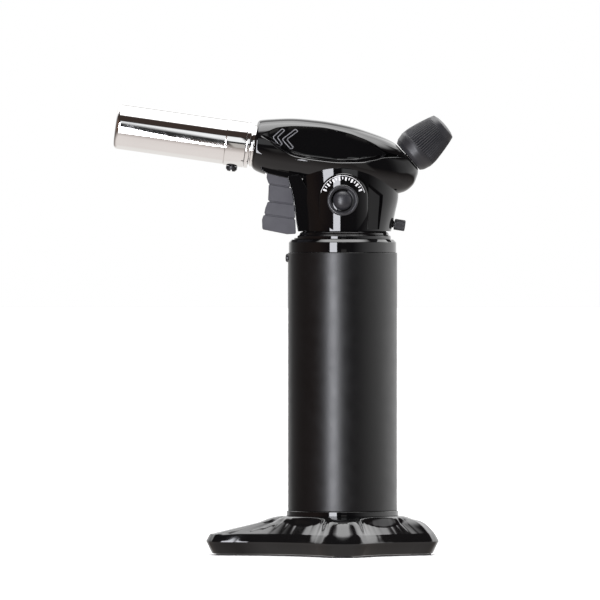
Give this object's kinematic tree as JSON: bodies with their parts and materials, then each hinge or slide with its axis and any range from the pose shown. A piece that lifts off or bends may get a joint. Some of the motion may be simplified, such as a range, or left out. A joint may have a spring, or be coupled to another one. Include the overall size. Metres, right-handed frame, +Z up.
{
  "type": "butane torch",
  "caption": "Table-top butane torch: round tank body on a four-point stand, glossy head with a tilted chrome flame tube, piezo trigger, ribbed gas knob and side lock button.",
  "frame": {"origin": "body axis at floor level, centred in the mouth of the refill opening", "axes": "+Z up the tank body, -X towards the flame, -Y the side with the lock button"},
  "size_m": [0.1492, 0.089, 0.1984],
  "materials": {
    "stand_plastic": "moulded high gloss black",
    "trim_plastic": "high gloss black",
    "head_plastic": "piano black gloss",
    "sleeve_paint": "satin black coat on a metal tube",
    "dark_screw": "blackened steel",
    "foot_rubber": "matte black rubber",
    "steel": "plain steel",
    "chrome": "polished chrome plate",
    "brass": "turned brass",
    "tank_metal": "drawn can",
    "grip_plastic": "dark grey matte",
    "knob_plastic": "charcoal matte",
    "nylon": "natural nylon",
    "igniter_plastic": "black moulded case",
    "white_ceramic": "unglazed white ceramic",
    "lead_rubber": "dark red insulation"
  },
  "bodies": {
    "torch": {"air_bush": "brass", "base_feet": "foot_rubber", "base_screws": "steel", "base_stand": "stand_plastic", "body_sleeve": "sleeve_paint", "burner_seat": "chrome", "button_spring": "steel", "dip_tube": "nylon", "electrode": "steel", "end_cap": "trim_plastic", "flame_holder": "steel", "flame_tube": "chrome", "fuel_tank": "tank_metal", "gas_jet": "brass", "head_screws": "steel", "head_shell_left": "head_plastic", "head_shell_right": "head_plastic", "ignition_lead": "lead_rubber", "insulator": "white_ceramic", "jet_pipe": "brass", "lock_bezel": "trim_plastic", "mixing_tube": "steel", "neck_ring": "trim_plastic", "outlet_gasket": "foot_rubber", "piezo_body": "igniter_plastic", "refill_seal": "foot_rubber", "refill_spring": "steel", "refill_valve": "brass", "sleeve_screw": "dark_screw", "supply_pipe": "brass", "tank_outlet": "brass", "trigger_spring": "steel", "tube_ring": "chrome", "tube_screw": "chrome", "upper_collar": "trim_plastic", "valve_body": "brass"},
    "gas_control": {"gas_knob": "knob_plastic", "knob_spindle": "steel"},
    "trigger_group": {"trigger": "grip_plastic", "piezo_plunger": "nylon"},
    "lock_plunger": {"lock_button": "knob_plastic"},
    "air_control": {"air_knob": "knob_plastic", "air_spindle": "steel"},
    "refill_poppet": {"refill_stem": "brass"}
  },
  "joints": [
    {"name": "gas_knob_turn", "type": "hinge", "parent": "torch", "child": "gas_control", "pos_m": [0.0321, 0, 0.1779], "axis": [0.7547, 0, 0.6561], "range_deg": [0, 270]},
    {"name": "trigger_pull", "type": "slide", "parent": "torch", "child": "trigger_group", "axis": [0.9848, 0, -0.1736], "range_m": [0, 0.0055], "stiffness_N_per_m": 600, "springref_m": -0.001, "deforming": ["trigger_spring"]},
    {"name": "lock_press", "type": "slide", "parent": "torch", "child": "lock_plunger", "axis": [0, 1, 0], "range_m": [0, 0.002], "stiffness_N_per_m": 300, "deforming": ["button_spring"]},
    {"name": "air_knob_turn", "type": "hinge", "parent": "torch", "child": "air_control", "pos_m": [0.0226, 0, 0.1455], "axis": [0.9885, 0, -0.1513], "range_deg": [0, 180]},
    {"name": "refill_press", "type": "slide", "parent": "torch", "child": "refill_poppet", "axis": [0, 0, 1], "range_m": [0, 0.0015], "stiffness_N_per_m": 300, "deforming": ["refill_spring"]}
  ]
}
